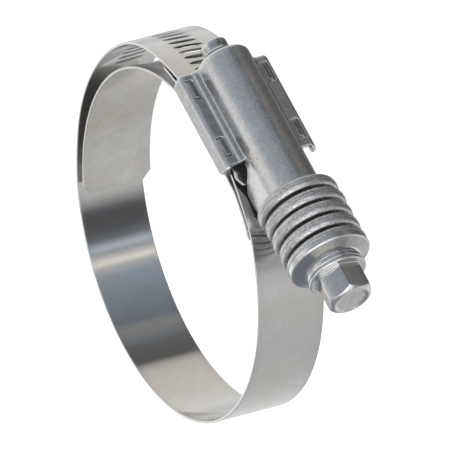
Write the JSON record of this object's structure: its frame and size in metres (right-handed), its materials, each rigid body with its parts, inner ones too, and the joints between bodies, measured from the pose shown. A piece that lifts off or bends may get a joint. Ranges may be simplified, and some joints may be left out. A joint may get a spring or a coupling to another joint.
{
  "type": "hose clamp",
  "caption": "Worm drive hose clamp: a slotted strip ring with an inner liner, a stamped screw housing, a hexagon-head screw and a stack of spring washers that keeps the band tight.",
  "frame": {"origin": "on the axis of the hose, which is the centre of the liner's circle, in the middle of the band's width", "axes": "+Z along the hose, up as the clamp lies on its side; +X along the screw towards its hexagon head; +Y from the hose axis towards the screw"},
  "size_m": [0.0939, 0.095, 0.0232],
  "materials": {
    "band_steel": "rolled stainless strip, fine grain along the strip",
    "liner_steel": "thin rolled stainless strip, satin",
    "housing_steel": "stamped stainless sheet, lightly tumbled",
    "screw_steel": "turned and cold-formed stainless, polished",
    "washer_steel": "stamped spring steel, fine grained"
  },
  "bodies": {
    "clamp": {"band": "band_steel", "liner": "liner_steel", "housing": "housing_steel", "saddle": "housing_steel", "thrust_washer": "washer_steel"},
    "spring_washer_1": {"spring_washer_1": "washer_steel"},
    "spring_washer_2": {"spring_washer_2": "washer_steel"},
    "spring_washer_3": {"spring_washer_3": "washer_steel"},
    "spring_washer_4": {"spring_washer_4": "washer_steel"},
    "spring_washer_5": {"spring_washer_5": "washer_steel"},
    "spring_washer_6": {"spring_washer_6": "washer_steel"},
    "spring_washer_7": {"spring_washer_7": "washer_steel"},
    "spring_washer_8": {"spring_washer_8": "washer_steel"},
    "screw": {"screw": "screw_steel"}
  },
  "joints": [
    {"name": "spring_compression", "type": "slide", "parent": "clamp", "child": "spring_washer_8", "axis": [-1, 0, 0], "range_m": [0, 0.0024], "stiffness_N_per_m": 20000, "deforming": ["spring_washer_1", "spring_washer_2", "spring_washer_3", "spring_washer_4", "spring_washer_5", "spring_washer_6", "spring_washer_7", "spring_washer_8"]},
    {"name": "screw_turn", "type": "hinge", "parent": "spring_washer_8", "child": "screw", "pos_m": [0.04475, 0.04456, 0], "axis": [1, 0, 0], "continuous": true},
    {"name": "washer_1_compression", "type": "slide", "parent": "clamp", "child": "spring_washer_1", "axis": [-1, 0, 0], "range_m": [0, 0.0003]},
    {"name": "washer_2_compression", "type": "slide", "parent": "clamp", "child": "spring_washer_2", "axis": [-1, 0, 0], "range_m": [0, 0.0006]},
    {"name": "washer_3_compression", "type": "slide", "parent": "clamp", "child": "spring_washer_3", "axis": [-1, 0, 0], "range_m": [0, 0.0009]},
    {"name": "washer_4_compression", "type": "slide", "parent": "clamp", "child": "spring_washer_4", "axis": [-1, 0, 0], "range_m": [0, 0.0012]},
    {"name": "washer_5_compression", "type": "slide", "parent": "clamp", "child": "spring_washer_5", "axis": [-1, 0, 0], "range_m": [0, 0.0015]},
    {"name": "washer_6_compression", "type": "slide", "parent": "clamp", "child": "spring_washer_6", "axis": [-1, 0, 0], "range_m": [0, 0.0018]},
    {"name": "washer_7_compression", "type": "slide", "parent": "clamp", "child": "spring_washer_7", "axis": [-1, 0, 0], "range_m": [0, 0.0021]}
  ],
  "couplings": [
    {"joint": "washer_1_compression", "follows": "spring_compression", "ratio": 0.125},
    {"joint": "washer_2_compression", "follows": "spring_compression", "ratio": 0.25},
    {"joint": "washer_3_compression", "follows": "spring_compression", "ratio": 0.375},
    {"joint": "washer_4_compression", "follows": "spring_compression", "ratio": 0.5},
    {"joint": "washer_5_compression", "follows": "spring_compression", "ratio": 0.625},
    {"joint": "washer_6_compression", "follows": "spring_compression", "ratio": 0.75},
    {"joint": "washer_7_compression", "follows": "spring_compression", "ratio": 0.875}
  ]
}
